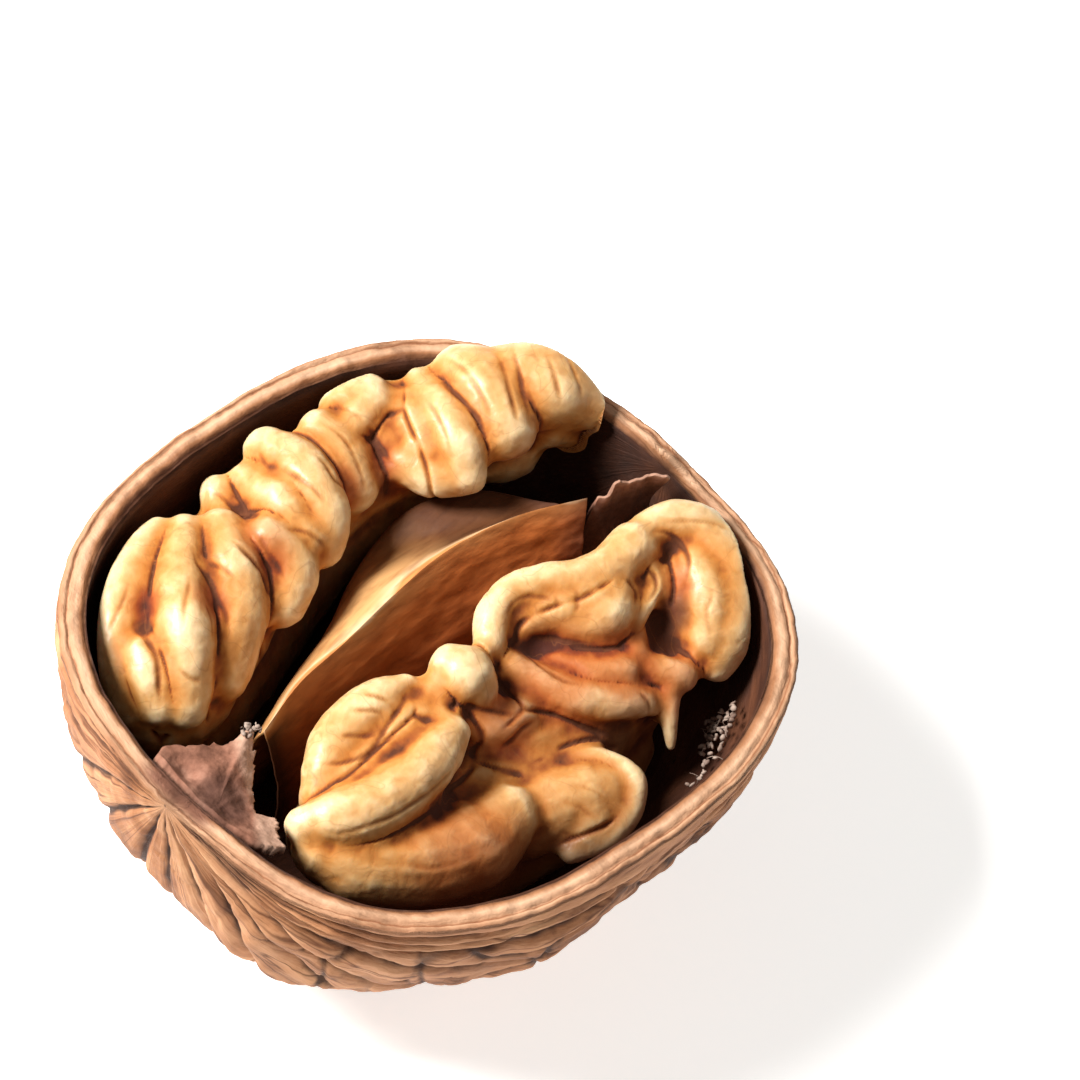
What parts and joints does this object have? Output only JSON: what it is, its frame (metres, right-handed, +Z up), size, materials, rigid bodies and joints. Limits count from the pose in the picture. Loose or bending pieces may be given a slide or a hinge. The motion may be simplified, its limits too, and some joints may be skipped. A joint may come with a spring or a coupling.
{
  "type": "walnut",
  "caption": "Half of an opened walnut: a bowl-shaped woody shell with two folded kernel lobes and a thin partition between them, lying with its opening up",
  "frame": {"origin": "On the surface that the nut lies on, under the middle of its outline", "axes": "X runs along the nut from the stem end at -X to the far end at +X, Y across it with the left lobe at +Y, Z up through the opening"},
  "size_m": [0.038, 0.0351, 0.0192],
  "materials": {
    "shell": "dry, rough and furrowed",
    "kernel": "thin oily skin with a soft sheen",
    "partition": "dry and papery",
    "papery_husk": "dry, torn and dull"
  },
  "bodies": {
    "root": {"shell_half": "shell", "kernel_left_lobe": "kernel", "kernel_right_lobe": "kernel", "partition": "partition", "stem_husk": "papery_husk", "far_husk": "papery_husk"}
  },
  "joints": []
}
